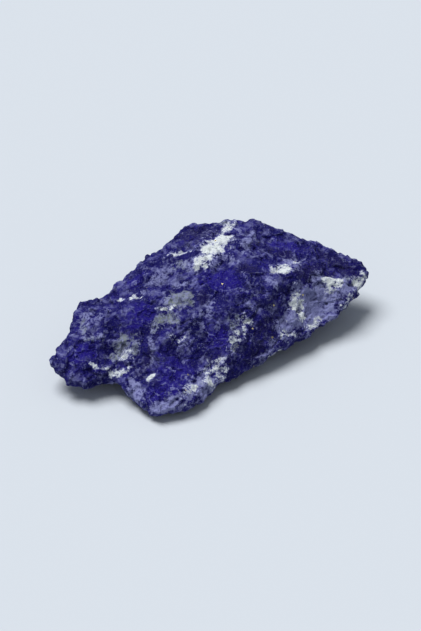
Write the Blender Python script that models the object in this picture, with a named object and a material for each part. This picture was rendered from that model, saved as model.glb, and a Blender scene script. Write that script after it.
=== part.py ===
"""A rough chip of lapis lazuli: one broken stone, 47 mm long, lying on a small flat spot.

The stone is drawn the way a map draws a hill. RIM is the thin edge that runs all round it. Above
the rim the upper side rises to CREST points, and below it the underside falls to a BELLY ring and
then to FOOT, the flat spot. Dished scars are then struck into that block, and its skin is broken
into steps, into small leaning plates and into grains. Lengths in the lists are millimetres, and
everything built is in metres.
"""

import bmesh
import bpy
import numpy as np
from mathutils import Matrix, Vector, geometry, noise

MM = 0.001
NAME = "lapis_stone"

# Driving sizes, in millimetres.
CELL = 0.36  # size of one cell of the even mesh that the scars are struck into
FOOT_TRIM = 0.15  # how much is ground off the underside to make the resting spot truly flat
FOOT_FADE = 0.9  # height over which scars and grain fade in above the resting spot
TRIANGLES = 8600  # how many triangles the finished stone may have

# The rim, clockwise from the left tip seen from above: x to the right, y away, then the heights of
# the lower and the upper edge of the thin broken wall that runs along it.
RIM = [
    (-23.7, -10.7, 3.8, 5.2),
    (-22.3, -8.1, 3.7, 5.5),
    (-20.7, -5.6, 4.7, 6.5),
    (-19.1, -0.6, 6.2, 8.0),
    (-16.7, 0.5, 6.7, 8.5),
    (-14.4, 1.3, 6.7, 8.5),
    (-11.3, 4.7, 7.7, 9.5),
    (-9.3, 7.3, 8.2, 10.0),
    (-7.1, 8.1, 8.2, 10.0),
    (-2.8, 13.7, 9.2, 11.0),
    (1.4, 13.4, 9.5, 11.1),
    (5.6, 13.7, 9.2, 10.8),
    (7.9, 13.4, 9.2, 11.0),
    (9.4, 12.1, 8.7, 10.5),
    (15.9, 11.1, 7.2, 9.0),
    (22.4, 8.4, 5.7, 7.5),
    (23.8, 6.9, 5.7, 6.9),
    (22.8, 5.3, 4.7, 5.9),
    (18.9, -0.4, 4.0, 5.4),
    (12.3, -4.8, 2.2, 3.6),
    (7.2, -8.9, 1.5, 2.9),
    (2.7, -11.8, 1.4, 2.8),
    (0.9, -12.8, 1.4, 2.8),
    (-1.0, -15.9, 1.2, 2.6),
    (-5.0, -18.3, 1.2, 2.6),
    (-8.4, -18.7, 1.2, 2.6),
    (-10.7, -16.3, 1.4, 2.8),
    (-14.2, -13.1, 2.7, 4.1),
    (-18.0, -13.9, 2.6, 4.0),
    (-19.8, -14.0, 2.6, 4.0),
    (-21.4, -12.8, 3.0, 4.4),
    (-23.0, -11.4, 3.8, 5.2),
]

# The upper side's high and low points, each with the neighbours that it shares a ridge with.
CREST = {
    "plateau_back": (1.7, 8.1, 12.4),
    "plateau_front": (4.9, 1.8, 12.0),
    "plateau_left": (-4.0, 3.9, 11.8),
    "middle_left": (-3.3, -5.6, 9.2),
    "middle_right": (2.3, -6.8, 8.6),
    "right_ridge": (8.1, -1.5, 10.6),
    "right_shoulder": (13.9, 4.0, 10.0),
    "right_tip_ridge": (18.4, 4.1, 8.2),
    "right_hollow": (15.8, 0.4, 6.2),
    "front_facet_top": (11.7, -0.6, 8.6),
    "front_facet_foot": (5.6, -7.3, 5.9),
    "bump_back": (-6.5, -9.9, 8.0),
    "bump_front": (-4.6, -15.0, 5.0),
    "lobe_back": (-16.0, -6.4, 8.2),
    "lobe_front": (-18.5, -10.2, 6.6),
    "pale_hollow": (-13.1, -10.1, 5.2),
    "left_shoulder": (-12.2, -3.5, 9.0),
    "upper_left": (-9.1, 0.0, 10.2),
    "groove_back": (-9.9, -9.0, 6.0),
    "groove_front": (-9.2, -13.4, 3.4),
}
RIDGES = [
    ("plateau_back", "plateau_left"),
    ("plateau_back", "plateau_front"),
    ("plateau_left", "upper_left"),
    ("plateau_left", "middle_left"),
    ("plateau_front", "right_ridge"),
    ("right_ridge", "right_shoulder"),
    ("right_shoulder", "right_tip_ridge"),
    ("right_ridge", "middle_right"),
    ("middle_right", "front_facet_foot"),
    ("right_shoulder", "front_facet_top"),
    ("front_facet_top", "front_facet_foot"),
    ("right_tip_ridge", "right_hollow"),
    ("middle_left", "bump_back"),
    ("bump_back", "bump_front"),
    ("upper_left", "left_shoulder"),
    ("left_shoulder", "lobe_back"),
    ("lobe_back", "lobe_front"),
    ("groove_back", "groove_front"),
    ("groove_back", "pale_hollow"),
]

# The underside: a ring part of the way down, then the flat spot that the stone lies on.
BELLY = [
    (-21.0, -9.6, 2.4),
    (-18.2, -2.8, 2.8),
    (-13.6, -0.6, 2.4),
    (-8.6, 4.6, 2.6),
    (-5.8, 6.2, 2.2),
    (-1.6, 11.6, 2.8),
    (5.2, 12.2, 2.0),
    (9.6, 10.4, 2.6),
    (16.2, 9.0, 3.2),
    (20.6, 6.0, 4.4),
    (15.4, 0.6, 1.9),
    (9.9, -4.4, 1.1),
    (2.2, -9.8, 0.9),
    (-4.2, -15.8, 0.9),
    (-8.4, -16.4, 0.9),
    (-12.6, -11.4, 1.3),
    (-18.4, -12.4, 1.5),
]
FOOT = [
    (-6.4, -3.6, 0.0),
    (-4.2, 0.6, 0.0),
    (-0.8, 3.6, 0.0),
    (3.4, 4.0, 0.0),
    (5.6, 1.2, 0.0),
    (4.0, -2.8, 0.0),
    (-0.2, -5.4, 0.0),
    (-4.2, -6.0, 0.0),
]

# The scars that show most: a point just over the stone, the dish's radius, and its depth.
SCARS = [
    ((-6.0, 0.5, 12.0), 4.6, 0.9),
    ((6.5, -5.5, 11.0), 4.2, 0.8),
    ((10.5, 6.8, 13.0), 4.8, 0.8),
    ((15.5, -1.5, 7.5), 4.4, 0.8),
    ((19.5, 5.5, 9.5), 3.2, 0.5),
    ((-1.0, -10.5, 9.0), 4.4, 0.9),
    ((-6.8, -18.0, 5.0), 3.4, 0.6),
    ((-17.5, -8.0, 9.0), 3.8, 0.6),
    ((-19.5, -12.8, 5.0), 2.8, 0.5),
    ((0.5, 11.5, 13.0), 3.8, 0.6),
    ((-13.0, -1.0, 10.5), 4.8, 0.45),
    ((3.0, 15.5, 4.5), 5.0, 0.9),
    ((-7.5, 9.5, 4.0), 4.6, 0.9),
    ((13.5, 12.5, 4.0), 4.6, 0.8),
    ((-20.5, -2.5, 3.0), 4.8, 0.45),
    ((12.5, -8.0, 1.5), 4.2, 0.7),
]
# Steps across the bedding, in patches.
BEDDING = (0.75, -0.35, 0.56)  # the way the layers face
STEP_PITCH = 3.1  # from one step to the next
STEP_RISE = 0.6  # how high a step is
STEP_WANDER = 6.0  # size of the bends in the steps
STEP_PATCH = 9.0  # size of the patches that have steps
# The hackly break is made of small flat plates, each leaning its own way, with steps between them:
# (size of a plate, how far it leans).
HACKLE = [(5.5, 0.07), (2.4, 0.08)]
# The grain on the plates.
GRAIN_SIZE = 1.3
GRAIN_HEIGHT = 0.07
GRAIN_OCTAVES = 2
WALL_CALM = 0.6  # how much of all this the upright walls along the rim are spared
WALL_LEAN = 0.6  # how far from upright, as the normal's height, a wall is still spared some
SEED = 61


def relief_faces(rings, points, lines):
    """Triangles of a relief drawn in plan: closed rings of points, loose points, and fixed lines."""
    flat, edges = [], []
    for ring in rings:
        start, count = len(flat), len(ring)
        flat += [Vector(point[:2]) for point in ring]
        edges += [(start + i, start + (i + 1) % count) for i in range(count)]
    offset = len(flat)
    flat += [Vector(point[:2]) for point in points]
    edges += [(offset + a, offset + b) for a, b in lines]
    inside_constraints = 1
    verts, _, faces, *_ = geometry.delaunay_2d_cdt(flat, edges, [], inside_constraints, 1e-4)
    if len(verts) != len(flat):
        raise ValueError("two lines of the relief cross: move a point")
    return faces


def block_mesh():
    """The stone's main form: the upper relief and the underside, joined along the rim."""
    crest_names = list(CREST)
    crest = list(CREST.values())
    ridge_ends = [(crest_names.index(a), crest_names.index(b)) for a, b in RIDGES]
    upper = relief_faces([RIM], crest, ridge_ends)
    lower = relief_faces([RIM, BELLY, FOOT], [], [])
    bm = bmesh.new()
    rim_high = [(x, y, high) for x, y, _, high in RIM]
    rim_low = [(x, y, low) for x, y, low, _ in RIM]
    top = [bm.verts.new(Vector(point) * MM) for point in rim_high + crest]
    under = [bm.verts.new(Vector(point) * MM) for point in rim_low + BELLY + FOOT]
    for face in upper:
        bm.faces.new([top[i] for i in face])
    for face in lower:
        bm.faces.new([under[i] for i in reversed(face)])
    for i in range(len(RIM)):
        after = (i + 1) % len(RIM)
        bm.faces.new([top[i], top[after], under[after], under[i]])
    bmesh.ops.recalc_face_normals(bm, faces=bm.faces)
    mesh = bpy.data.meshes.new(NAME)
    bm.to_mesh(mesh)
    bm.free()
    return mesh


def evened(mesh):
    """The same form as one mesh of even cells, fine enough to strike scars into."""
    block = bpy.data.objects.new("block", mesh)
    bpy.context.scene.collection.objects.link(block)
    remesh = block.modifiers.new("even_cells", "REMESH")
    remesh.mode = "VOXEL"
    remesh.voxel_size = CELL * MM
    graph = bpy.context.evaluated_depsgraph_get()
    even = bpy.data.meshes.new_from_object(block.evaluated_get(graph))
    bpy.data.objects.remove(block)
    return even


def unit(vectors):
    """Each row of vectors at length 1."""
    return vectors / np.maximum(np.linalg.norm(vectors, axis=1, keepdims=True), 1e-12)


class Surface:
    """The mesh's points as an array in millimetres, with what the striking functions ask of it."""

    def __init__(self, mesh):
        self.mesh = mesh
        self.points = np.empty(len(mesh.vertices) * 3)
        mesh.vertices.foreach_get("co", self.points)
        self.points = self.points.reshape(-1, 3) / MM
        self.ends = np.empty(len(mesh.edges) * 2, int)
        mesh.edges.foreach_get("vertices", self.ends)
        self.ends = self.ends.reshape(-1, 2)
        self.write()

    def write(self):
        """Puts the points back into the mesh."""
        self.mesh.vertices.foreach_set("co", (self.points * MM).ravel())
        self.mesh.update()

    def spread(self, values, rounds):
        """Values averaged with their neighbours', so many rounds over."""
        for _ in range(rounds):
            total = values.copy()
            count = np.ones(len(values))
            for near, far in (self.ends.T, self.ends.T[::-1]):
                np.add.at(total, near, values[far])
                np.add.at(count, near, 1)
            values = total / count[:, None]
        return values

    def normals(self, rounds=6):
        """Outward normals, evened over their surroundings."""
        self.write()
        found = np.empty(len(self.points) * 3)
        self.mesh.vertices.foreach_get("normal", found)
        return unit(self.spread(found.reshape(-1, 3), rounds))

    def freedom(self):
        """0 on the resting spot, rising to 1 a little way above it."""
        share = np.clip((self.points[:, 2] - FOOT_TRIM) / FOOT_FADE, 0, 1)
        return share * share * (3 - 2 * share)


def relieve(surface, rise, rounds=6):
    """Raises the skin along its evened normals, less on upright walls and not on the resting spot."""
    normals = surface.normals(rounds)
    upright = np.clip(1 - np.abs(normals[:, 2]) / WALL_LEAN, 0, 1)
    share = 1 - WALL_CALM * upright
    surface.points += (rise * share * surface.freedom())[:, None] * normals


def strike_dish(surface, at, axis, radius, depth):
    """Breaks a shallow dish out: the points inside a large ball go back to the ball's skin."""
    ball = (radius**2 + depth**2) / (2 * depth)
    centre = at + axis * (ball - depth)
    away = surface.points - centre
    gap = ball**2 - (away**2).sum(axis=1)
    inside = np.flatnonzero(gap > 0)
    along = away[inside] @ axis
    travel = (along + np.sqrt(along**2 + gap[inside])) * surface.freedom()[inside]
    surface.points[inside] -= travel[:, None] * axis


def strike_scars(surface):
    """The scars that show most, each facing the way the stone faces there."""
    for over, radius, depth in SCARS:
        nearest = np.argmin(((surface.points - over) ** 2).sum(axis=1))
        axis = surface.normals(rounds=20)[nearest]
        strike_dish(surface, surface.points[nearest].copy(), axis, radius, depth)


def plates(points, area, size, lean, rng):
    """Height of a field of flat plates that lean their own way, with small steps between them."""
    nearest = np.full(len(points), np.inf)  # squared distance to the middle of the nearest plate
    height = np.zeros(len(points))
    for _ in range(int(area / size**2)):
        away = points - points[rng.integers(len(points))]
        distance = (away**2).sum(axis=1)
        closer = distance < nearest
        nearest[closer] = distance[closer]
        height[closer] = away[closer] @ rng.normal(0, lean, 3)
    return height


def cloud(points, size, shift):
    """Smooth noise of about -1 to 1, whose lumps are of the given size."""
    return np.array([noise.noise(Vector(point) + Vector((shift, 0, 0))) for point in points / size])


def break_steps(surface):
    """Breaks the skin in small steps across the bedding."""
    layer = surface.points @ np.array(Vector(BEDDING).normalized()) / STEP_PITCH
    share = (layer + cloud(surface.points, STEP_WANDER, 0)) % 1
    patch = np.clip(cloud(surface.points, STEP_PATCH, 50) * 3 + 0.6, 0, 1)
    relieve(surface, (0.5 - share) * STEP_RISE * patch)


def break_hackly(surface, rng):
    """Breaks the skin into leaning plates."""
    area = sum(face.area for face in surface.mesh.polygons) / MM**2
    for size, lean in HACKLE:
        relieve(surface, plates(surface.points, area, size, lean, rng))


def raise_grain(surface):
    """The sugary grain of the break."""
    places = [Vector(point) for point in surface.points / GRAIN_SIZE]
    lumps = np.array([noise.turbulence(place, GRAIN_OCTAVES, True) for place in places])
    relieve(surface, (lumps - lumps.mean()) * GRAIN_HEIGHT, rounds=2)


def struck_mesh():
    """The block with its scars, its steps, its hackly break and its grain."""
    scarred = Surface(evened(block_mesh()))
    strike_scars(scarred)
    scarred.write()
    broken = Surface(evened(scarred.mesh))
    break_steps(broken)
    break_hackly(broken, np.random.default_rng(SEED))
    raise_grain(broken)
    broken.write()
    return evened(broken.mesh)


def lightened(mesh):
    """The struck mesh with fewer, larger triangles where the stone is smooth."""
    dense = bpy.data.objects.new("dense", mesh)
    bpy.context.scene.collection.objects.link(dense)
    mesh.calc_loop_triangles()
    fewer = dense.modifiers.new("fewer_triangles", "DECIMATE")
    fewer.ratio = TRIANGLES / len(mesh.loop_triangles)
    fewer.use_collapse_triangulate = True
    graph = bpy.context.evaluated_depsgraph_get()
    light = bpy.data.meshes.new_from_object(dense.evaluated_get(graph))
    bpy.data.objects.remove(dense)
    return light


def flatten_foot(mesh):
    """Grinds the resting spot flat and closes it with one face."""
    bm = bmesh.new()
    bm.from_mesh(mesh)
    bmesh.ops.bisect_plane(
        bm,
        geom=bm.verts[:] + bm.edges[:] + bm.faces[:],
        plane_co=(0, 0, FOOT_TRIM * MM),
        plane_no=(0, 0, -1),
        clear_outer=True,
    )
    bmesh.ops.holes_fill(bm, edges=[edge for edge in bm.edges if edge.is_boundary])
    bmesh.ops.triangulate(bm, faces=bm.faces)
    bm.to_mesh(mesh)
    bm.free()


def centre_at_origin(mesh):
    """Moves the stone so that its box stands centred on the origin."""
    points = np.array([vertex.co for vertex in mesh.vertices])
    low, high = points.min(axis=0), points.max(axis=0)
    middle = (low + high) / 2
    mesh.transform(Matrix.Translation((-middle[0], -middle[1], -low[2])))


def lapis_material():
    """Deep blue stone with a dull break."""
    material = bpy.data.materials.new("lapis")
    material.use_nodes = True
    shader = material.node_tree.nodes["Principled BSDF"]
    shader.inputs["Base Color"].default_value = (0.03, 0.035, 0.2, 1)
    shader.inputs["Roughness"].default_value = 0.6
    shader.inputs["Metallic"].default_value = 0
    return material


def main():
    for old in list(bpy.data.objects):
        bpy.data.objects.remove(old)
    mesh = lightened(struck_mesh())
    flatten_foot(mesh)
    centre_at_origin(mesh)
    mesh.name = NAME
    mesh.materials.append(lapis_material())
    stone = bpy.data.objects.new(NAME, mesh)
    bpy.context.scene.collection.objects.link(stone)


main()
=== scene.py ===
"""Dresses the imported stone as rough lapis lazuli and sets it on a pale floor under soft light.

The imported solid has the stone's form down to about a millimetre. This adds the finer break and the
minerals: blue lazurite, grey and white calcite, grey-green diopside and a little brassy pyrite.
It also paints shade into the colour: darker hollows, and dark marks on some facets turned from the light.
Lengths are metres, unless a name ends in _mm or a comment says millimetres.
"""

import math
from types import SimpleNamespace

import bpy
import numpy as np
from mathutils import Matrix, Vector, noise


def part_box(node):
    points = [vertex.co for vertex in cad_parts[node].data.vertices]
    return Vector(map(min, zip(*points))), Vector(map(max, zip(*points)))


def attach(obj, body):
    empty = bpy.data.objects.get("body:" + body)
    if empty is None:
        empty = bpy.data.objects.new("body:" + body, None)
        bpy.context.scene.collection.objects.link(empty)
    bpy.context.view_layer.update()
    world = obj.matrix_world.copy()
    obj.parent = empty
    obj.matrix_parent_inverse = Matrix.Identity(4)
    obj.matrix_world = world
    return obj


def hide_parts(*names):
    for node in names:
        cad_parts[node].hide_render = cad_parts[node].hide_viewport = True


bl_info = {
    "name": "Rough lapis lazuli",
    "version": (1, 0, 0),
    "blender": (4, 5, 0),
    "location": "3D View > Sidebar > Lapis",
    "description": "Builds the fine break, the minerals and the studio of a rough lapis lazuli",
    "category": "Object",
}

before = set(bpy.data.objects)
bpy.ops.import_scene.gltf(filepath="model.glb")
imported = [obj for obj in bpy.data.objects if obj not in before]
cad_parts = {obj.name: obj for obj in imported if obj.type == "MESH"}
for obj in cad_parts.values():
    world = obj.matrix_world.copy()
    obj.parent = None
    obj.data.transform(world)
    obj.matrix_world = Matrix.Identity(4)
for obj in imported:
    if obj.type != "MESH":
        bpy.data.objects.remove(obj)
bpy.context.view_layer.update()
NODE = "lapis_stone"
STONE_LOW, STONE_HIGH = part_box(NODE)
MM = 0.001
TINY = 1e-12  # keeps a vector of no length from dividing by zero

# The marks that tell this stone from others, each as (x, y, half length, half width, turn, strength)
# in millimetres and degrees on the upper side, seen from above: x to the right and y away.
CALCITE_MARKS = [
    (0.9, 9.4, 3.4, 1.7, 64, 1.0),
    (2.5, 13.6, 2.4, 1.0, 70, 0.75),
    (-1.3, 5.7, 1.9, 1.2, 45, 0.95),
    (-4.8, 8.0, 2.2, 0.6, 20, 0.65),
    (4.9, -2.8, 1.5, 0.8, 60, 0.65),
    (3.8, -5.4, 1.7, 0.9, 40, 0.65),
    (-12.3, -7.4, 1.5, 0.9, 50, 0.7),
    (-13.6, -9.8, 2.2, 0.6, 10, 0.65),
    (-16.6, -10.0, 1.0, 0.5, 0, 0.75),
    (-9.0, -10.8, 0.7, 0.6, 0, 1.0),
    (0.8, -8.7, 2.0, 1.1, 30, 0.65),
    (1.4, -9.6, 1.2, 0.7, 10, 0.7),
    (12.5, 1.6, 1.8, 1.2, 70, 0.75),
    (15.2, 1.0, 1.8, 0.7, 30, 0.75),
    (11.3, -2.2, 1.0, 0.6, 30, 0.8),
    (18.2, 5.8, 1.8, 0.9, 30, 0.9),
    (21.8, 7.6, 1.6, 0.9, 50, 0.85),
    (20.6, 4.4, 2.0, 0.6, 50, 0.7),
    (10.5, 5.6, 1.7, 1.2, 40, 0.9),
    (12.4, 7.4, 2.2, 0.5, 40, 0.65),
    (-13.3, 1.0, 0.7, 0.6, 0, 0.8),
    (-10.9, 0.8, 0.8, 0.6, 0, 0.85),
    (-6.2, -1.7, 1.5, 0.4, 0, 0.9),
    (-4.6, -6.0, 1.4, 0.5, 0, 0.65),
    (-3.0, -13.2, 1.8, 0.8, 50, 0.7),
    (-0.4, -10.8, 1.5, 0.9, 40, 0.65),
]
LILAC_MARKS = [
    (-17.6, -2.4, 2.2, 1.6, 40, 0.6),
    (-17.1, -5.2, 2.4, 0.9, 0, 0.65),
    (-7.0, 4.6, 2.4, 1.0, 30, 0.65),
    (-8.4, 3.2, 1.6, 0.7, 10, 0.6),
    (-4.2, 2.4, 2.4, 0.8, 0, 0.65),
    (-2.2, 5.4, 1.6, 1.4, 0, 0.8),
    (-0.6, -2.2, 2.2, 0.8, 45, 0.65),
    (-3.9, -5.9, 1.9, 0.8, 10, 0.6),
    (8.9, 2.0, 1.2, 0.9, 0, 0.65),
    (6.0, 0.2, 1.4, 0.7, 30, 0.5),
    (5.6, 10.2, 1.0, 3.0, -10, 0.7),
    (3.1, 5.9, 1.8, 0.8, -20, 0.6),
    (-11.0, -12.8, 1.0, 2.2, 30, 0.9),
    (-6.2, -15.6, 3.4, 0.9, 10, 0.85),
    (-1.6, -12.2, 3.6, 1.6, 45, 0.9),
    (0.4, 8.4, 4.2, 2.4, 64, 0.7),
    (3.2, 1.1, 2.0, 0.6, 0, 0.55),
    (15.4, 2.8, 4.8, 2.4, 36, 1.0),
    (11.4, -0.8, 2.4, 1.5, 50, 0.95),
    (18.8, 5.2, 3.4, 1.5, 40, 0.9),
    (8.6, -5.2, 3.6, 0.4, 32, 0.6),
    (11.6, 6.8, 2.8, 1.3, 40, 0.75),
    (-8.6, -7.6, 0.5, 2.4, -15, 0.6),
]
GREEN_MARKS = [
    (-18.8, -3.7, 0.7, 1.3, 0, 0.75),
    (-16.6, -5.8, 1.4, 0.7, 0, 0.6),
    (-5.0, -0.7, 2.5, 1.7, 30, 0.95),
    (-6.7, -3.5, 2.2, 1.1, 10, 0.95),
    (3.4, -3.9, 0.7, 1.8, -20, 0.75),
    (20.4, 7.4, 1.2, 0.7, 20, 0.75),
    (-0.8, -11.6, 1.5, 1.1, 0, 0.6),
    (-4.4, 5.6, 1.6, 1.2, 0, 0.6),
    (-12.4, -6.8, 2.4, 1.6, 20, 0.9),
    (2.6, 15.0, 2.0, 0.8, 0, 0.75),
    (-6.9, -14.2, 1.2, 0.7, 0, 0.4),
]
# Dark marks: partly the darkest lazurite of the stone, partly painted shade on facets that turn away from the
# light.
DARK_AND_SHADE_MARKS = [
    (-1.6, 12.4, 2.6, 2.2, 50, 0.9),
    (-1.2, -0.8, 0.8, 1.3, 0, 0.85),
    (-9.2, -8.4, 0.6, 2.2, -30, 1.0),
    (8.8, -2.4, 1.3, 3.2, -35, 0.6),
    (14.6, 6.2, 3.2, 1.4, 25, 0.9),
    (19.0, 9.4, 4.6, 0.9, -18, 0.75),
    (5.2, 4.2, 1.6, 1.2, 0, 0.8),
    (6.8, -5.7, 2.4, 0.8, 40, 0.7),
    (-11.0, -5.0, 3.0, 0.7, 10, 0.6),
    (0.4, -7.6, 2.2, 0.7, 20, 0.5),
    (10.2, 9.2, 2.4, 0.9, -20, 0.6),
]
VIVID_MARKS = [
    (-10.4, -2.6, 2.4, 1.5, 40, 1.0),
    (-18.8, -8.4, 2.2, 1.2, 20, 0.9),
    (-5.2, -10.4, 2.4, 2.4, 0, 1.0),
    (-6.4, -13.4, 2.4, 1.2, 0, 0.9),
    (15.6, 2.7, 1.0, 0.9, 0, 1.0),
    (11.6, 11.0, 3.4, 1.2, -10, 0.7),
    (1.6, 2.6, 3.4, 1.9, -10, 0.9),
    (1.0, -5.2, 1.6, 2.0, 0, 0.8),
    (-10.9, 4.0, 1.6, 1.0, 40, 0.7),
    (8.4, 5.0, 1.4, 1.8, 0, 0.5),
]
MARK_KINDS = {
    "calcite": CALCITE_MARKS,
    "lilac": LILAC_MARKS,
    "green": GREEN_MARKS,
    "dark": DARK_AND_SHADE_MARKS,
    "vivid": VIVID_MARKS,
}
MARK_END = 1.5  # where a mark has faded out, in half lengths or widths from its middle; it fades from 0.5
MARK_EDGE = 0.4  # how far a mark's edge wanders, as a share of its size
MARK_EDGE_SIZE_MM = 0.9  # size of the wandering
MARK_EDGE_SHIFT_MM = 31  # how far apart the kinds take their wandering from the noise
MARK_BEND_MM = 0.8  # how far the marks are pulled out of shape
MARK_BEND_SIZE_MM = 2.0  # size of the lumps that pull them
MARK_BEND_SHIFTS = (0.0, 17.3, 41.6)  # where the pulls along x, y and z come from in the noise
LUMP_FADE = 0.7  # how much weaker each finer layer of the wandering is, as an exponent
LUMP_STEP = 2.0  # how many times finer each layer is than the one before
LUMP_LAYERS = 3
# The hidden sides get patches of the same kinds at random: (how many, widest half length in mm).
HIDDEN_PATCHES = {
    "calcite": (34, 2.2),
    "lilac": (36, 2.6),
    "green": (20, 2.0),
    "dark": (24, 2.6),
    "vivid": (20, 2.4),
}
HIDDEN_SEED = 11
HIDDEN_LENGTHS = (0.35, 1)  # least and most half length, as a share of the kind's widest
HIDDEN_WIDTHS = (0.3, 0.7)  # least and most half width, as a share of the half length
HIDDEN_STRENGTHS = (0.6, 1)  # least and most strength
HIDDEN_HOME = 0.5  # how hidden a point is, at least, where a patch may have its middle
UPPER_FROM = -0.35  # upward part of the normal from which a point counts as the upper side
UPPER_SPAN = 0.4  # how much more of it makes the point wholly the upper side

PLATE_SHUFFLE = 97  # takes plates side by side to cells of the noise far apart, so each leans its own way
# Rounds of averaging over neighbours. More rounds leave a broader form.
BREAK_ROUNDS = 1  # on the heights of the fine break
LIFT_ROUNDS = 3  # on the normals that the break rises along
SIDE_ROUNDS = 12  # on the normals that tell the upper side
RIDGE_ROUNDS = 2  # on the normals that a ridge stands proud along
FINE_ROUNDS = 5  # on the form that a fine ridge stands proud of
BROAD_ROUNDS = 40  # on the form that a broad ridge stands proud of
FINE_RIDGES = 5  # weight of the fine ridges, for each millimetre
BROAD_RIDGES = 0.8  # weight of the broad ridges, for each millimetre

# Sizes of the material's patterns, in millimetres, from the broadest to the finest.
SEAM_MM = 4.5
CLOUD_MM = 2.6
DRIFT_MM = 1.6
STREAK_MM = 1.1
CRYSTAL_MM = 0.8
PIT_MM = 0.5
SPECKLE_MM = 0.42
FINE_CRYSTAL_MM = 0.36
SUGAR_MM = 0.15
CLOUDY = (4, 0.6)  # detail and roughness of the noise in the broader patterns
GRAINY = (3, 0.7)  # and in the finer ones
# Each kind of mark: the cover at which it starts to show, the cover at which it is full, its strength.
COVERS = {
    "calcite": (0.3, 0.8, 0.95),
    "lilac": (0.33, 1.0, 0.9),
    "green": (0.35, 1.0, 0.85),
    "dark": (0.2, 0.7, 0.8),
    "vivid": (0.2, 0.7, 0.9),
}
# How strongly each tint shows over what lies under it, where it is full.
DARK_CRYSTALS = 0.45
LILAC_HAZE = 0.56
VIVID_CLOUDS = 0.35
GREEN_GRIT = 0.6
VEINS = 0.4
FLECKS = 0.6
BRUISED_RIDGES = 0.3
# painted shade: how far the hollows are darkened towards the darkest blue
PAINTED_HOLLOW_SHADE = 0.45
SUGARY_GRAINS = 0.1
PYRITE_GAP_MM = 0.8  # one place for a pyrite grain in each cell this wide
PYRITE_RADIUS = 0.2  # a pyrite grain's radius, as a share of that cell
PYRITE_CHANCE = 0.975  # a cell has a grain where its random number is above this
PYRITE_NEAR_CALCITE = 0.03  # how much calcite raises that number
SHEEN = 0.05  # specular level, low because the break is dull
BUMP = {"Strength": 0.6, "Distance": 0.12 * MM}  # grain too fine for the mesh

IMAGE_SHAPE = 631 / 421  # height of the image over its width
FLOOR_SIDES = 96
FLOOR_ROUGHNESS = 0.9
NEAREST = 0.01  # the nearest that the camera sees


class StoneSettings(bpy.types.PropertyGroup):
    """Sizes of the fine break."""

    cell: bpy.props.FloatProperty(
        name="Cell", description="Size of one cell of the fine mesh", default=0.00018, unit="LENGTH"
    )
    plate: bpy.props.FloatProperty(
        name="Plate", description="Size of the break's small flat plates", default=0.0021, unit="LENGTH"
    )
    plate_lean: bpy.props.FloatProperty(
        name="Plate lean", description="How far the plates lean, as a slope", default=0.2, subtype="FACTOR"
    )
    chip: bpy.props.FloatProperty(
        name="Chip", description="Size of the tiny chips on the plates", default=0.0008, unit="LENGTH"
    )
    chip_lean: bpy.props.FloatProperty(
        name="Chip lean", description="How far the chips lean, as a slope", default=0.26, subtype="FACTOR"
    )
    relief: bpy.props.FloatProperty(
        name="Relief", description="The most that the fine break rises or sinks",
        default=0.00027, unit="LENGTH",
    )
    foot_fade: bpy.props.FloatProperty(
        name="Foot fade", description="Height over which the fine break fades in",
        default=0.0006, unit="LENGTH",
    )


class MineralSettings(bpy.types.PropertyGroup):
    """Colours of the minerals."""

    deep: bpy.props.FloatVectorProperty(
        name="Deep blue", description="The lazurite that makes up most of the stone",
        subtype="COLOR", default=(0.005, 0.004, 0.083), min=0, max=1,
    )
    vivid: bpy.props.FloatVectorProperty(
        name="Vivid blue", description="The purest lazurite",
        subtype="COLOR", default=(0.011, 0.006, 0.16), min=0, max=1,
    )
    middle: bpy.props.FloatVectorProperty(
        name="Middle blue", description="Lazurite with a little calcite in it",
        subtype="COLOR", default=(0.012, 0.0095, 0.12), min=0, max=1,
    )
    lilac: bpy.props.FloatVectorProperty(
        name="Lilac blue", description="Lazurite clouded with calcite",
        subtype="COLOR", default=(0.21, 0.22, 0.43), min=0, max=1,
    )
    calcite: bpy.props.FloatVectorProperty(
        name="Calcite", description="The white to grey veins and patches",
        subtype="COLOR", default=(0.64, 0.68, 0.68), min=0, max=1,
    )
    green: bpy.props.FloatVectorProperty(
        name="Grey green", description="Diopside mixed with calcite",
        subtype="COLOR", default=(0.2, 0.23, 0.22), min=0, max=1,
    )
    # Also the colour of the painted shade: the dark marks on shaded facets and the darkened hollows.
    dark: bpy.props.FloatVectorProperty(
        name="Dark violet", description="The darkest grains, nearly black",
        subtype="COLOR", default=(0.007, 0.005, 0.06), min=0, max=1,
    )
    pyrite: bpy.props.FloatVectorProperty(
        name="Pyrite", description="The small brassy grains",
        subtype="COLOR", default=(0.5, 0.42, 0.22), min=0, max=1,
    )


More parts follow.
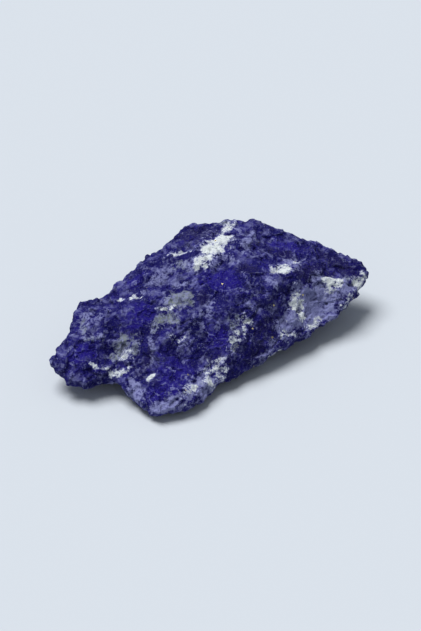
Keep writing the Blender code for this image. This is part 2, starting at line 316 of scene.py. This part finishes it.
class StudioSettings(bpy.types.PropertyGroup):
    """The camera, the lights and the floor."""

    elevation: bpy.props.FloatProperty(
        name="Elevation", description="Camera's height above the horizon",
        default=math.radians(42), subtype="ANGLE",
    )
    distance: bpy.props.FloatProperty(
        name="Distance", description="From the camera to the stone", default=0.6, unit="LENGTH"
    )
    frame_share: bpy.props.FloatProperty(
        name="Frame share", description="The stone's width as a share of the image's width",
        default=0.76, subtype="FACTOR",
    )
    floor: bpy.props.FloatVectorProperty(
        name="Floor", description="Colour of the floor",
        subtype="COLOR", default=(0.53, 0.565, 0.61), min=0, max=1,
    )
    floor_radius: bpy.props.FloatProperty(
        name="Floor radius", description="Radius of the round floor", default=20.0, unit="LENGTH"
    )
    sky: bpy.props.FloatProperty(name="Sky", description="Strength of the light from all round", default=0.3)
    sky_colour: bpy.props.FloatVectorProperty(
        name="Sky colour", description="Colour of the light from all round",
        subtype="COLOR", default=(0.86, 0.93, 1), min=0, max=1,
    )
    window: bpy.props.FloatProperty(
        name="Window", description="Strength of the broad soft light, in watts per square metre", default=3.6
    )
    window_spread: bpy.props.FloatProperty(
        name="Window spread", description="How wide the soft light is, seen from the stone",
        default=math.radians(37), subtype="ANGLE",
    )
    window_side: bpy.props.FloatVectorProperty(
        name="Window side", description="Where the soft light comes from: above, behind and to the left",
        subtype="DIRECTION", default=(-0.28, 0.2, 0.82),
    )


class Signal:
    """An output socket that Python arithmetic works on. Each operation adds a Math node."""

    def __init__(self, nodes, socket):
        self.nodes = nodes
        self.socket = socket

    def combined(self, operation, first, second):
        """A new Math node on two signals or numbers."""
        return self.nodes.add("ShaderNodeMath", {"operation": operation}, {0: first, 1: second})

    def __add__(self, other):
        return self.combined("ADD", self, other)

    __radd__ = __add__

    def __sub__(self, other):
        return self.combined("SUBTRACT", self, other)

    def __rsub__(self, other):
        return self.combined("SUBTRACT", other, self)

    def __mul__(self, other):
        return self.combined("MULTIPLY", self, other)

    __rmul__ = __mul__


class Nodes:
    """A material's node tree, with one method that adds any node and a few that name common ones."""

    def __init__(self, material):
        material.use_nodes = True
        self.tree = material.node_tree
        self.shader = self.tree.nodes["Principled BSDF"]

    def feed(self, socket, value):
        """Sets a socket to a value, or links it to a signal."""
        if isinstance(value, Signal):
            self.tree.links.new(value.socket, socket)
        elif socket.type == "RGBA":
            socket.default_value = (*value, 1)
        else:
            socket.default_value = value

    def add(self, kind, settings, sockets, output=0):
        """Adds a node: its settings first, then its sockets' values or links. Gives one output."""
        node = self.tree.nodes.new(kind)
        for name, value in settings.items():
            setattr(node, name, value)
        for name, value in sockets.items():
            self.feed(node.inputs[name], value)
        return Signal(self, node.outputs[output])

    def mix(self, share, first, second):
        """From the first colour at share 0 to the second at share 1."""
        settings = {"data_type": "RGBA", "clamp_factor": True}
        return self.add("ShaderNodeMix", settings, {0: share, 6: first, 7: second}, 2)

    def rise(self, value, low, high):
        """0 below low, 1 above high, smooth between."""
        settings = {"interpolation_type": "SMOOTHSTEP"}
        return self.add("ShaderNodeMapRange", settings, {"Value": value, "From Min": low, "From Max": high})

    def noise(self, place, size_mm, detail=3, roughness=0.55, output="Fac"):
        """Cloudy noise whose lumps are about size_mm across."""
        sockets = {"Vector": place, "Scale": 1 / size_mm, "Detail": detail, "Roughness": roughness}
        return self.add("ShaderNodeTexNoise", {}, sockets, output)

    def grains(self, place, size_mm, output="Distance"):
        """Grains about size_mm across: distance from a grain's middle, or its own random colour."""
        return self.add("ShaderNodeTexVoronoi", {}, {"Vector": place, "Scale": 1 / size_mm}, output)

    def channel(self, colour, name):
        """One channel of a colour, Red, Green or Blue, as a value."""
        return self.add("ShaderNodeSeparateColor", {}, {"Color": colour}, name)

    def painted(self, name):
        """A value painted on the mesh's points."""
        return self.add("ShaderNodeAttribute", {"attribute_name": name}, {}, "Fac")


def unit(vectors):
    """Each row at length 1."""
    return vectors / np.maximum(np.linalg.norm(vectors, axis=1, keepdims=True), TINY)


def smooth(share):
    """0 to 1 with soft ends."""
    share = np.clip(share, 0, 1)
    return share * share * (3 - 2 * share)


class Skin:
    """The fine mesh's points and normals in millimetres, and averaging over neighbours."""

    def __init__(self, mesh):
        self.mesh = mesh
        count = len(mesh.vertices)
        self.points = np.empty(count * 3)
        mesh.vertices.foreach_get("co", self.points)
        self.points = self.points.reshape(-1, 3) / MM
        ends = np.empty(len(mesh.edges) * 2, int)
        mesh.edges.foreach_get("vertices", ends)
        ends = ends.reshape(-1, 2)
        self.near, self.far = np.concatenate([ends, ends[:, ::-1]]).T
        self.valence = np.bincount(self.near, minlength=count)

    def neighbours_mean(self, values):
        """The mean of the neighbours' values, for each column."""
        columns = values.reshape(len(values), -1).T
        sums = [np.bincount(self.near, weights=column[self.far], minlength=len(values)) for column in columns]
        return (np.array(sums) / self.valence).T.reshape(values.shape)

    def spread(self, values, rounds):
        """Values evened over their neighbours, so many rounds over."""
        for _ in range(rounds):
            values = (values + self.neighbours_mean(values)) / 2
        return values

    def normals(self, rounds):
        """Outward normals, evened over so many rounds."""
        found = np.empty(len(self.points) * 3)
        self.mesh.vertices.foreach_get("normal", found)
        return unit(self.spread(found.reshape(-1, 3), rounds))

    def move(self, heights, normals):
        """Moves the points out along the normals by heights, and never below the floor."""
        self.points += heights[:, None] * normals
        self.points[:, 2] = np.maximum(self.points[:, 2], 0)
        self.mesh.vertices.foreach_set("co", (self.points * MM).ravel())
        self.mesh.update()

    def paint(self, name, values):
        """Stores a value on each point for the material."""
        layer = self.mesh.attributes.new(name, "FLOAT", "POINT")
        layer.data.foreach_set("value", values.astype(np.float32))


def even_copy(node, cell):
    """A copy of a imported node's mesh in even cells, fine enough for the fine break."""
    rough = bpy.data.objects.new("rough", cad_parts[node].data.copy())
    bpy.context.scene.collection.objects.link(rough)
    remesh = rough.modifiers.new("even_cells", "REMESH")
    remesh.mode = "VOXEL"
    remesh.voxel_size = cell
    graph = bpy.context.evaluated_depsgraph_get()
    mesh = bpy.data.meshes.new_from_object(rough.evaluated_get(graph))
    bpy.data.objects.remove(rough)
    mesh.materials.clear()
    return mesh


def leaning_plates(points, size, lean):
    """Heights of a field of flat plates, each leaning its own way, in the points' own unit."""
    level = Vector((0.5, 0.5, 0.5))  # the middle of the noise, which runs from 0 to 1 along each axis
    heights = np.empty(len(points))
    for index, point in enumerate(points / size):
        middle = noise.voronoi(point)[1][0]
        slope = (noise.cell_vector(middle * PLATE_SHUFFLE) - level) * 2
        heights[index] = slope.dot(Vector(point) - middle) * lean * size
    return heights


def lumps(points, size):
    """Cloudy noise of about -1 to 1 at each point."""
    layers = (LUMP_FADE, LUMP_STEP, LUMP_LAYERS)
    return np.array([noise.fractal(Vector(point), *layers) for point in points / size])


def bent_places(points):
    """The points pulled about smoothly, so that round marks lose their regular shape."""
    places = points / MARK_BEND_SIZE_MM
    pulls = [[noise.noise(Vector(place + shift)) for place in places] for shift in MARK_BEND_SHIFTS]
    return points + np.array(pulls).T * MARK_BEND_MM


def mark_field(places, marks, wander):
    """How strongly the upper side's marks of one kind cover each point."""
    field = np.zeros(len(places))
    for x, y, half_length, half_width, turn, strength in marks:
        away = places[:, :2] - (x, y)
        turn = math.radians(turn)
        along = away @ (math.cos(turn), math.sin(turn)) / half_length
        across = away @ (-math.sin(turn), math.cos(turn)) / half_width
        reach = np.sqrt(along**2 + across**2) + wander * MARK_EDGE
        field = np.maximum(field, strength * smooth(MARK_END - reach))
    return field


def hidden_field(skin, hidden, count, widest, wander, rng):
    """How strongly random patches of one kind cover each point of the sides that the photograph hides."""
    field = np.zeros(len(skin.points))
    homes = np.flatnonzero(hidden > HIDDEN_HOME)
    for _ in range(count):
        away = skin.points - skin.points[rng.choice(homes)]
        axis = unit(rng.normal(0, 1, (1, 3)))[0]
        length = widest * rng.uniform(*HIDDEN_LENGTHS)
        width = length * rng.uniform(*HIDDEN_WIDTHS)
        along = away @ axis
        across = np.sqrt(np.maximum((away**2).sum(axis=1) - along**2, 0))
        reach = np.hypot(along / length, across / width) + wander * MARK_EDGE
        field = np.maximum(field, rng.uniform(*HIDDEN_STRENGTHS) * smooth(MARK_END - reach))
    return field * hidden


def paint_minerals(skin):
    """Paints where each mineral lies: as the photograph shows on the upper side, at random elsewhere. On the
    upper side the dark marks also carry painted shade.
    """
    places = bent_places(skin.points)
    facing_up = skin.normals(SIDE_ROUNDS)[:, 2]
    upper = smooth((facing_up - UPPER_FROM) / UPPER_SPAN)
    rng = np.random.default_rng(HIDDEN_SEED)
    for number, (kind, marks) in enumerate(MARK_KINDS.items()):
        wander = lumps(skin.points + number * MARK_EDGE_SHIFT_MM, MARK_EDGE_SIZE_MM)
        shown = mark_field(places, marks, wander) * upper
        hidden = hidden_field(skin, 1 - upper, *HIDDEN_PATCHES[kind], wander, rng)
        skin.paint(kind, np.maximum(shown, hidden))


def paint_ridges(skin):
    """Paints how far each point stands proud of its surroundings, 0.5 on a flat stretch."""
    normals = skin.normals(RIDGE_ROUNDS)
    fine = ((skin.points - skin.spread(skin.points, FINE_ROUNDS)) * normals).sum(axis=1)
    broad = ((skin.points - skin.spread(skin.points, BROAD_ROUNDS)) * normals).sum(axis=1)
    # the material lightens the ridges as bruised wear and darkens the hollows as painted shade
    skin.paint("ridge", np.clip(0.5 + fine * FINE_RIDGES + broad * BROAD_RIDGES, 0, 1))


def lapis_patterns(nodes):
    """The patterns that the colours and the relief are made from. Most run from 0 to 1."""
    object_place = nodes.add("ShaderNodeTexCoord", {}, {}, "Object")
    scale = {"Vector": object_place, "Scale": 1 / MM}
    place = nodes.add("ShaderNodeVectorMath", {"operation": "SCALE"}, scale)
    drift = nodes.noise(place, DRIFT_MM, output="Color")
    bent = nodes.add("ShaderNodeVectorMath", {"operation": "ADD"}, {0: place, 1: drift})
    crystal = nodes.grains(bent, CRYSTAL_MM, "Color")
    look = SimpleNamespace(
        place=place,
        bent=bent,
        clouds=nodes.rise(nodes.noise(bent, CLOUD_MM, *CLOUDY), 0.3, 0.7),
        streaks=nodes.rise(nodes.noise(bent, STREAK_MM, *CLOUDY), 0.3, 0.7),
        speckle=nodes.rise(nodes.noise(place, SPECKLE_MM, *GRAINY), 0.32, 0.68),
        sugar=nodes.rise(nodes.noise(place, SUGAR_MM, *GRAINY), 0.32, 0.68),
        crystal_tone=nodes.channel(crystal, "Red"),
        crystal_kind=nodes.channel(crystal, "Green"),
        crystal_luck=nodes.channel(crystal, "Blue"),
        fine_crystal=nodes.channel(nodes.grains(bent, FINE_CRYSTAL_MM, "Color"), "Red"),
        pits=nodes.grains(bent, PIT_MM),
        seam=nodes.noise(bent, SEAM_MM, 2),
        ridge=nodes.painted("ridge"),
    )
    look.ragged = (
        (look.streaks - 0.5) * 0.45
        + (look.speckle - 0.5) * 0.45
        + (look.fine_crystal - 0.5) * 0.25
        + (look.sugar - 0.5) * 0.2
    )
    return look


def blue_ground(nodes, look, colours):
    """Grains of deep, middle and nearly black blue under a lilac haze and vivid clouds."""
    rise, mix = nodes.rise, nodes.mix
    tone = look.clouds * 0.5 + look.streaks * 0.2 + look.crystal_tone * 0.2 + look.sugar * 0.1
    blue = mix(rise(tone, 0.3, 0.7), colours.deep, colours.middle)
    blue = mix(rise(look.crystal_kind, 0.7, 0.95) * DARK_CRYSTALS, blue, colours.dark)
    haze = rise(look.clouds * 0.45 + look.streaks * 0.4 + look.speckle * 0.15, 0.32, 0.85)
    blue = mix(haze * haze * LILAC_HAZE, blue, colours.lilac)
    return mix(rise(look.clouds - look.streaks * 0.4, 0.35, 0.6) * VIVID_CLOUDS, blue, colours.vivid)


def mark_layers(nodes, look, colours, blue):
    """The painted marks over the blue, with ragged edges. Gives the colour and that of its palest parts."""
    rise, mix = nodes.rise, nodes.mix

    def cover(kind):
        low, high, strength = COVERS[kind]
        return rise(nodes.painted(kind) + look.ragged, low, high) * strength

    blue = mix(cover("vivid"), blue, colours.vivid)
    blue = mix(cover("dark"), blue, colours.dark)
    clouded = mix(cover("lilac"), blue, colours.lilac)
    grit = rise(look.speckle - look.sugar * 0.3, 0.25, 0.6) * GREEN_GRIT
    clouded = mix(cover("green"), clouded, mix(grit, colours.green, colours.lilac))
    core = rise(nodes.painted("calcite") + look.ragged, 0.45, 0.95)
    pale = mix(core, colours.lilac, colours.calcite)
    return mix(cover("calcite"), clouded, pale), pale


def wear_veins_and_painted_shade(nodes, look, colours, stone, pale):
    """Thin pale veins and flecks, bruised ridges, painted shade in the hollows and sugary grains over the
    colour.
    """
    rise, mix = nodes.rise, nodes.mix
    near_seam = rise(look.seam, 0.48, 0.5) * rise(1 - look.seam, 0.48, 0.5)
    vein = near_seam * rise(look.streaks + look.speckle * 0.3, 0.5, 0.8)
    stone = mix(vein * VEINS, stone, pale)
    fleck = rise(look.crystal_luck, 0.965, 0.97) * rise(look.speckle + look.clouds * 0.4, 0.45, 0.8)
    stone = mix(fleck * FLECKS, stone, pale)
    bruised = rise(look.ridge, 0.6, 0.95) * rise(look.speckle, 0.4, 0.8)
    stone = mix(bruised * BRUISED_RIDGES, stone, colours.lilac)
    # painted shade: the hollows are darkened towards the darkest blue, as shade would fall in them
    stone = mix(rise(1 - look.ridge, 0.55, 0.95) * PAINTED_HOLLOW_SHADE, stone, colours.dark)
    return mix(rise(look.sugar, 0.8, 1.0) * SUGARY_GRAINS, stone, colours.calcite)


def pyrite_grains(nodes, look):
    """1 in a few small ragged grains, mostly near calcite, and 0 elsewhere."""
    inside = PYRITE_RADIUS - nodes.grains(look.place, PYRITE_GAP_MM) + (look.sugar - 0.5) * 0.1
    near_calcite = nodes.rise(nodes.painted("calcite"), 0.05, 0.5)
    luck = nodes.channel(nodes.grains(look.place, PYRITE_GAP_MM, "Color"), "Blue")
    luck = luck + near_calcite * PYRITE_NEAR_CALCITE
    return nodes.rise(inside, 0.0, 0.03) * nodes.rise(luck, PYRITE_CHANCE, PYRITE_CHANCE + 0.005)


def lapis_material(colours):
    """Rough lapis lazuli: grains of blue, clouds of calcite, green-grey patches and pyrite."""
    material = bpy.data.materials.new("rough_lapis")
    nodes = Nodes(material)
    look = lapis_patterns(nodes)
    stone, pale = mark_layers(nodes, look, colours, blue_ground(nodes, look, colours))
    stone = wear_veins_and_painted_shade(nodes, look, colours, stone, pale)
    pyrite = pyrite_grains(nodes, look)
    roughness = (
        0.7 - nodes.rise(look.fine_crystal, 0.75, 0.95) * 0.3 + (look.sugar - 0.5) * 0.2 - pyrite * 0.35
    )
    relief = look.speckle * 0.3 + look.sugar * 0.2 + look.pits * 0.7
    finish = {
        "Base Color": nodes.mix(pyrite, stone, colours.pyrite),
        "Metallic": pyrite,
        "Roughness": roughness,
        "Specular IOR Level": SHEEN,
        "Normal": nodes.add("ShaderNodeBump", {}, {"Height": relief, **BUMP}),
    }
    for socket, value in finish.items():
        nodes.feed(nodes.shader.inputs[socket], value)
    return material


class LAPIS_OT_break_stone(bpy.types.Operator):
    """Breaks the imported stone's surface up finely and paints its minerals"""

    bl_idname = "lapis.break_stone"
    bl_label = "Break and paint the stone"

    def execute(self, context):
        sizes = context.scene.lapis_stone
        skin = Skin(even_copy(NODE, sizes.cell))
        lift = smooth(skin.points[:, 2] * MM / sizes.foot_fade)
        heights = leaning_plates(skin.points, sizes.plate / MM, sizes.plate_lean)
        heights += leaning_plates(skin.points, sizes.chip / MM, sizes.chip_lean)
        heights = np.clip(heights, -sizes.relief / MM, sizes.relief / MM)
        skin.move(skin.spread(heights, BREAK_ROUNDS) * lift, skin.normals(LIFT_ROUNDS))
        paint_minerals(skin)
        paint_ridges(skin)
        stone = bpy.data.objects.new("lapis_break", skin.mesh)
        context.scene.collection.objects.link(stone)
        skin.mesh.materials.append(lapis_material(context.scene.lapis_minerals))
        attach(stone, "root")
        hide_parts(NODE)
        return {"FINISHED"}


def aim(thing, place, target):
    """Puts a camera or light at a place and turns it to look at the target."""
    thing.location = place
    thing.rotation_euler = (target - place).to_track_quat("-Z", "Y").to_euler()


def broad_light(name, place, spread, strength, target):
    """A soft light that reaches the whole floor evenly, aimed at the target."""
    lamp = bpy.data.lights.new(name, "SUN")
    lamp.angle = spread
    lamp.energy = strength
    thing = bpy.data.objects.new(name, lamp)
    bpy.context.scene.collection.objects.link(thing)
    aim(thing, place, target)


def plain_material(name, colour):
    """A dull, even finish for the floor."""
    material = bpy.data.materials.new(name)
    material.use_nodes = True
    shader = material.node_tree.nodes["Principled BSDF"]
    shader.inputs["Base Color"].default_value = (*colour, 1)
    shader.inputs["Roughness"].default_value = FLOOR_ROUGHNESS
    return material


class LAPIS_OT_light_studio(bpy.types.Operator):
    """Makes the pale floor, the soft light and the camera"""

    bl_idname = "lapis.light_studio"
    bl_label = "Set up the studio"

    def execute(self, context):
        scene = context.scene
        studio = scene.lapis_studio
        target = Vector((0, 0, (STONE_LOW.z + STONE_HIGH.z) / 2))

        bpy.ops.mesh.primitive_circle_add(
            vertices=FLOOR_SIDES, radius=studio.floor_radius, fill_type="NGON", location=(0, 0, 0)
        )
        floor = context.object
        floor.name = "floor"
        floor.data.materials.append(plain_material("pale_floor", studio.floor))

        world = bpy.data.worlds.new("soft_sky")
        scene.world = world
        world.use_nodes = True
        sky = world.node_tree.nodes["Background"]
        sky.inputs["Color"].default_value = (*studio.sky_colour, 1)
        sky.inputs["Strength"].default_value = studio.sky
        broad_light("window", Vector(studio.window_side), studio.window_spread, studio.window, target)

        image_width = (STONE_HIGH.x - STONE_LOW.x) / studio.frame_share
        camera = bpy.data.objects.new("camera", bpy.data.cameras.new("camera"))
        scene.collection.objects.link(camera)
        up = math.sin(studio.elevation)
        back = -math.cos(studio.elevation)
        aim(camera, target + Vector((0, back, up)) * studio.distance, target)
        camera.data.lens = camera.data.sensor_width * studio.distance / (image_width * IMAGE_SHAPE)
        camera.data.clip_start = NEAREST
        scene.camera = camera
        scene.view_settings.view_transform = "Standard"
        return {"FINISHED"}


class LAPIS_PT_panel(bpy.types.Panel):
    """Lists the operators in the order that they run"""

    bl_idname = "LAPIS_PT_panel"
    bl_label = "Rough lapis lazuli"
    bl_space_type = "VIEW_3D"
    bl_region_type = "UI"
    bl_category = "Lapis"

    def draw(self, context):
        for operator in OPERATORS:
            self.layout.operator(operator.bl_idname)
        for group in SETTINGS:
            for name in SETTINGS[group].__annotations__:
                self.layout.prop(getattr(context.scene, group), name)


OPERATORS = (LAPIS_OT_break_stone, LAPIS_OT_light_studio)
SETTINGS = {"lapis_stone": StoneSettings, "lapis_minerals": MineralSettings, "lapis_studio": StudioSettings}
CLASSES = (*SETTINGS.values(), *OPERATORS, LAPIS_PT_panel)


def register():
    """Adds the classes, and the settings to the scene."""
    for made in CLASSES:
        bpy.utils.register_class(made)
    for name, group in SETTINGS.items():
        setattr(bpy.types.Scene, name, bpy.props.PointerProperty(type=group))


def unregister():
    """Takes the settings and the classes away again."""
    for name in SETTINGS:
        delattr(bpy.types.Scene, name)
    for made in reversed(CLASSES):
        bpy.utils.unregister_class(made)


def main():
    """Builds everything."""
    register()
    bpy.ops.lapis.break_stone()
    bpy.ops.lapis.light_studio()


if __name__ == "__main__":
    main()
